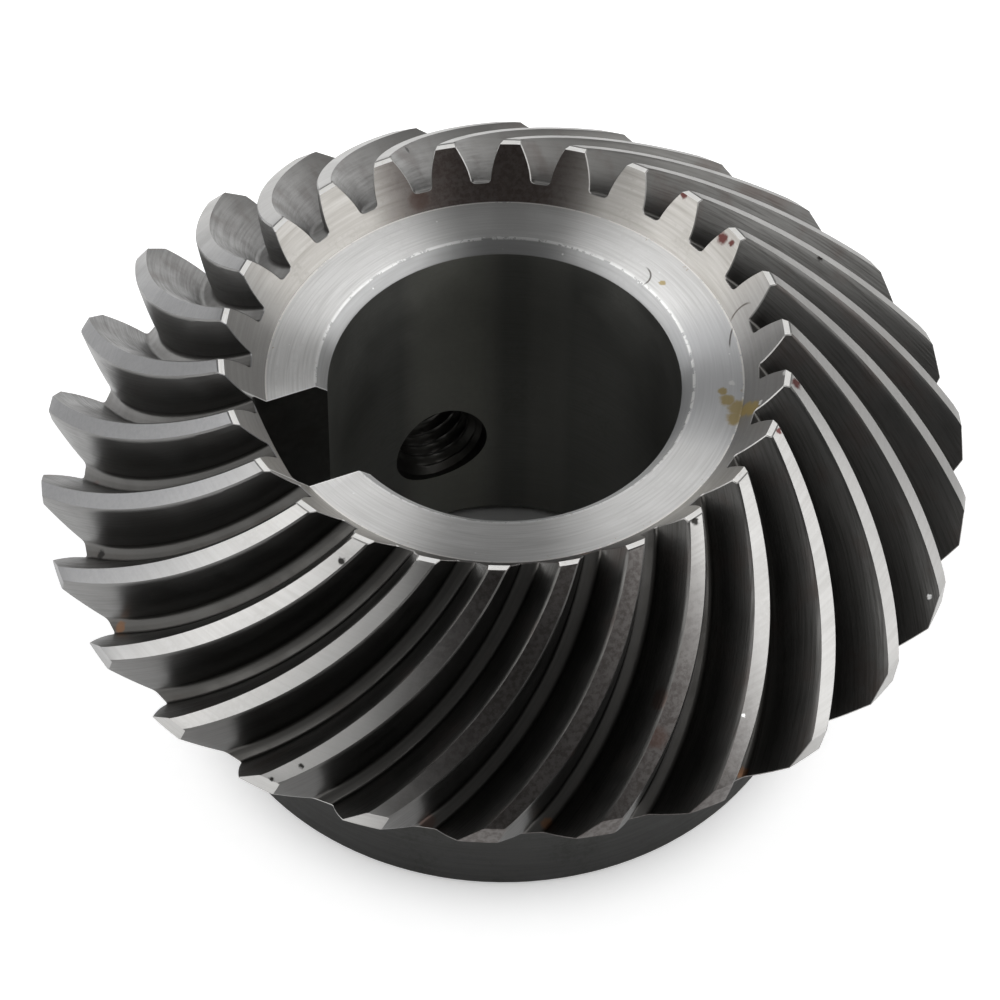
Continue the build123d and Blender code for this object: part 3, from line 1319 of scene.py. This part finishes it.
# floor, world and lamps; angles in degrees, lengths in metres. A softbox is its name, azimuth, elevation,
# distance, width and height, and radiance.
studio = {
    "floorColour": (0.88, 0.88, 0.88),
    "floorShade": (0.85, 0.85, 0.85),
    "floorLift": 0.6,
    # the lift fades out towards the gear: painted shadow round it, seen directly and in reflections
    "liftSeenFrom": (0.020, 0.032),
    "liftMirroredFrom": (0.026, 0.055),
    # painted shade: the paper under the bore drawn a little darker
    "floorShadeUnderBore": (0.80, 0.80, 0.80),
    "underBoreFrom": (0.026, 0.017),
    "floorHalfWidth": 3.0,
    "fibreScale": 900.0,
    "fibreRange": (0.3, 0.7),
    "horizon": 0.55,
    "zenith": 0.2,
    "darkLevel": 0.08,
    "darkAzimuth": -113.0,
    "darkElevation": 50.0,
    "darkInner": 20.0,
    "darkOuter": 36.0,
    "softboxAim": (0.0, 0.0, 0.03),
    "softboxes": [
        ("leftSoftbox", 152.0, 42.0, 0.6, (0.75, 0.65), 1.5),
        ("rightSoftbox", -28.0, 42.0, 0.6, (0.75, 0.65), 1.5),
    ],
}


# white paper, lifted to white where the camera or a reflection looks at it; the lift fades out towards the
# gear, a painted shadow round it
def floorPaper():
    made, tree, shader = newMaterial("floorPaper")
    place = tree.nodes.new("ShaderNodeTexCoord").outputs["Object"]
    fibre = grain(tree, place, scale=studio["fibreScale"], detail=3.0)
    colour = ramp(tree, fibre, *studio["fibreRange"])
    colour = blendColour(tree, colour, studio["floorColour"], studio["floorShade"])
    reach = vectorNode(tree, "LENGTH", place).outputs["Value"]
    # painted shade under the bore
    colour = blendColour(tree, ramp(tree, reach, *studio["underBoreFrom"]), colour, studio["floorShadeUnderBore"])
    rays = tree.nodes.new("ShaderNodeLightPath").outputs
    mirrored = mathNode(tree, "MAXIMUM", rays["Is Glossy Ray"], rays["Is Transmission Ray"])
    lift = 0.0
    # painted shadow: the lift fades out towards the gear
    for seen, liftFrom in ((rays["Is Camera Ray"], "liftSeenFrom"), (mirrored, "liftMirroredFrom")):
        lifted = ramp(tree, reach, *studio[liftFrom], 0.0, studio["floorLift"])
        lift = mathNode(tree, "ADD", lift, times(tree, seen, lifted))
    tree.links.new(colour, shader.inputs["Base Color"])
    tree.links.new(lift, shader.inputs["Emission Strength"])
    shader.inputs["Emission Color"].default_value = (1, 1, 1, 1)
    shader.inputs["Roughness"].default_value = 0.9
    shader.inputs["Specular IOR Level"].default_value = 0.1
    return made


def makeFloor():
    far = studio["floorHalfWidth"]
    floorMesh = bpy.data.meshes.new("floor")
    corners = [(-far, -far, 0), (far, -far, 0), (far, far, 0), (-far, far, 0)]
    floorMesh.from_pydata(corners, [], [range(4)])
    floor = bpy.data.objects.new("floor", floorMesh)
    bpy.context.scene.collection.objects.link(floor)
    floorMesh.materials.append(floorPaper())


# a grey room that is lighter low down, with the dark of the photographer's side left in
def makeWorld():
    world = bpy.data.worlds.new("studio")
    bpy.context.scene.world = world
    world.use_nodes = True
    tree = world.node_tree
    place = tree.nodes.new("ShaderNodeTexCoord").outputs["Generated"]
    darkSide = unitVector(studio["darkAzimuth"], studio["darkElevation"])
    cosine = vectorNode(tree, "DOT_PRODUCT", place, darkSide).outputs["Value"]
    split = tree.nodes.new("ShaderNodeSeparateXYZ")
    tree.links.new(place, split.inputs[0])
    sky = ramp(tree, split.outputs[2], 0.0, 1.0, studio["horizon"], studio["zenith"], soft=False)
    outer, inner = (math.cos(math.radians(studio[name])) for name in ("darkOuter", "darkInner"))
    lobe = ramp(tree, cosine, outer, inner)
    lit = times(tree, sky, mathNode(tree, "SUBTRACT", 1.0, lobe))
    lit = mathNode(tree, "ADD", lit, times(tree, lobe, studio["darkLevel"]))
    seen = tree.nodes.new("ShaderNodeLightPath").outputs["Is Camera Ray"]
    tree.links.new(mathNode(tree, "MAXIMUM", lit, seen), tree.nodes["Background"].inputs["Color"])


def addSoftbox(name, azimuth, elevation, distance, size, radiance):
    data = bpy.data.lights.new(name, "AREA")
    data.shape = "RECTANGLE"
    data.size, data.size_y = size
    data.energy = radiance * math.pi * size[0] * size[1]
    made = bpy.data.objects.new(name, data)
    toward = unitVector(azimuth, elevation)
    made.location = toward * distance + Vector(studio["softboxAim"])
    made.rotation_euler = toward.to_track_quat("Z", "Y").to_euler()
    made.visible_camera = False
    bpy.context.scene.collection.objects.link(made)


makeFloor()
makeWorld()
for softbox in studio["softboxes"]:
    addSoftbox(*softbox)
print("studio set")

bpy.context.scene.view_settings.view_transform = "Standard"
